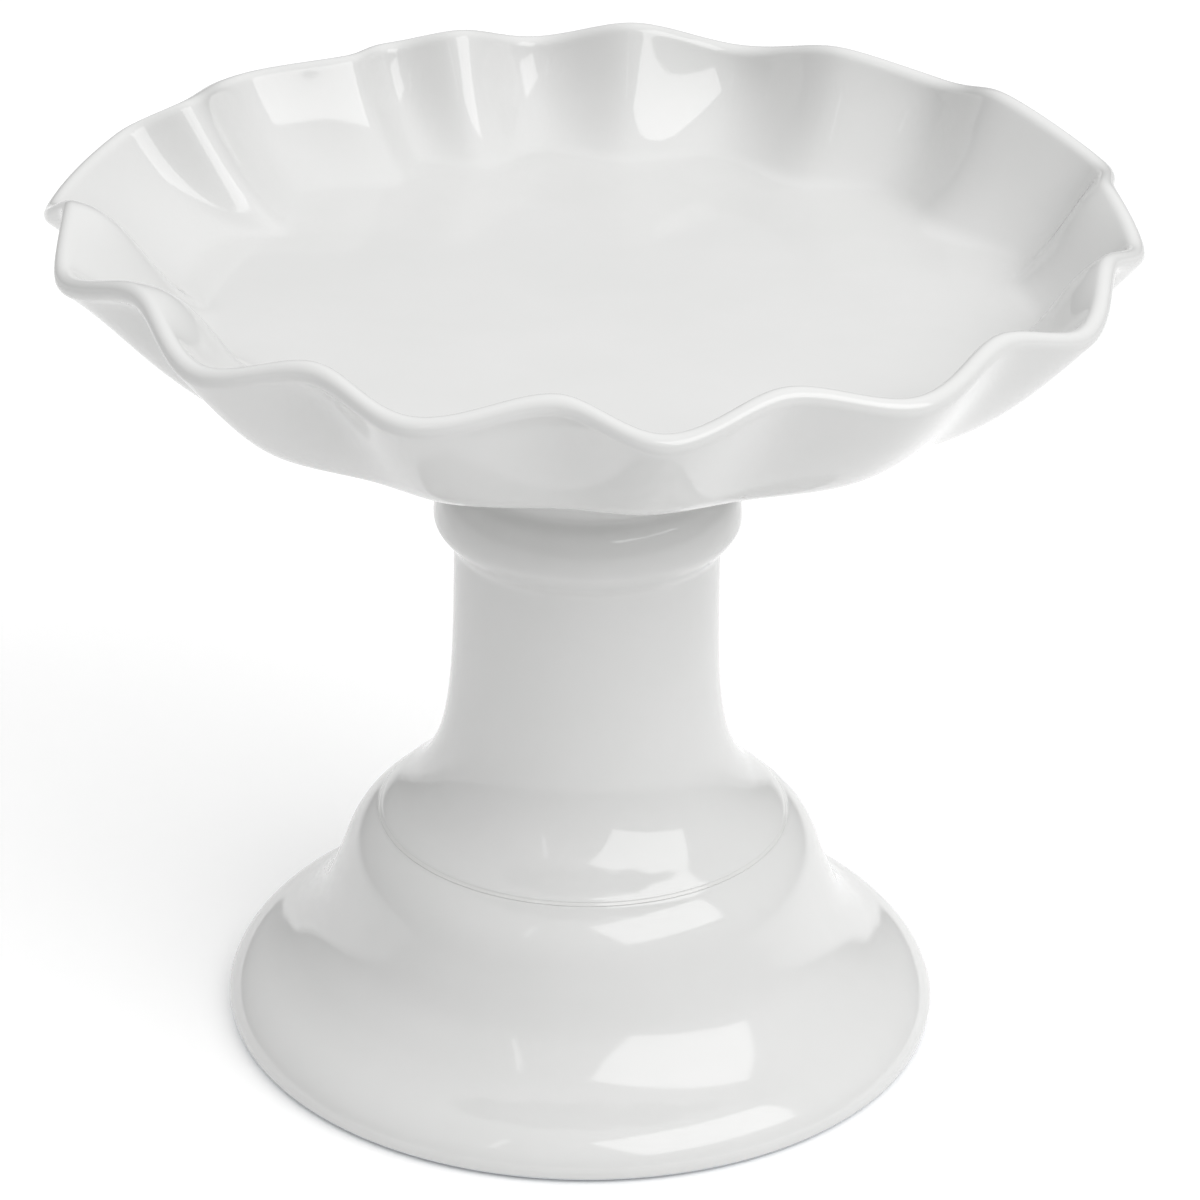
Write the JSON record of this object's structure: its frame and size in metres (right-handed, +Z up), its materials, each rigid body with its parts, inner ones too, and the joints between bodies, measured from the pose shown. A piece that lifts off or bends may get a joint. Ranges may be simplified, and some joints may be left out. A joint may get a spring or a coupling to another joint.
{
  "type": "footed cake stand",
  "caption": "White glazed ceramic cake stand: flat-floored dish with a pinched ruffled rim on a hollow turned stem and a broad bell foot.",
  "frame": {"origin": "centre of the foot's flat underside, on the stem's axis", "axes": "+Z up along the stem, -Y towards the viewer's front, +X to the viewer's right"},
  "size_m": [0.2767, 0.271, 0.2362],
  "materials": {
    "white_glaze": "clear gloss glaze over white stoneware, softly pooled in the hollows",
    "slip_joint": "fired joining slip, matt under a thin skin of glaze"
  },
  "bodies": {
    "root": {"ruffled_dish": "white_glaze", "dish_lute_ring": "slip_joint", "pedestal_stem": "white_glaze", "stem_lute_ring": "slip_joint", "bell_foot": "white_glaze"}
  },
  "joints": []
}
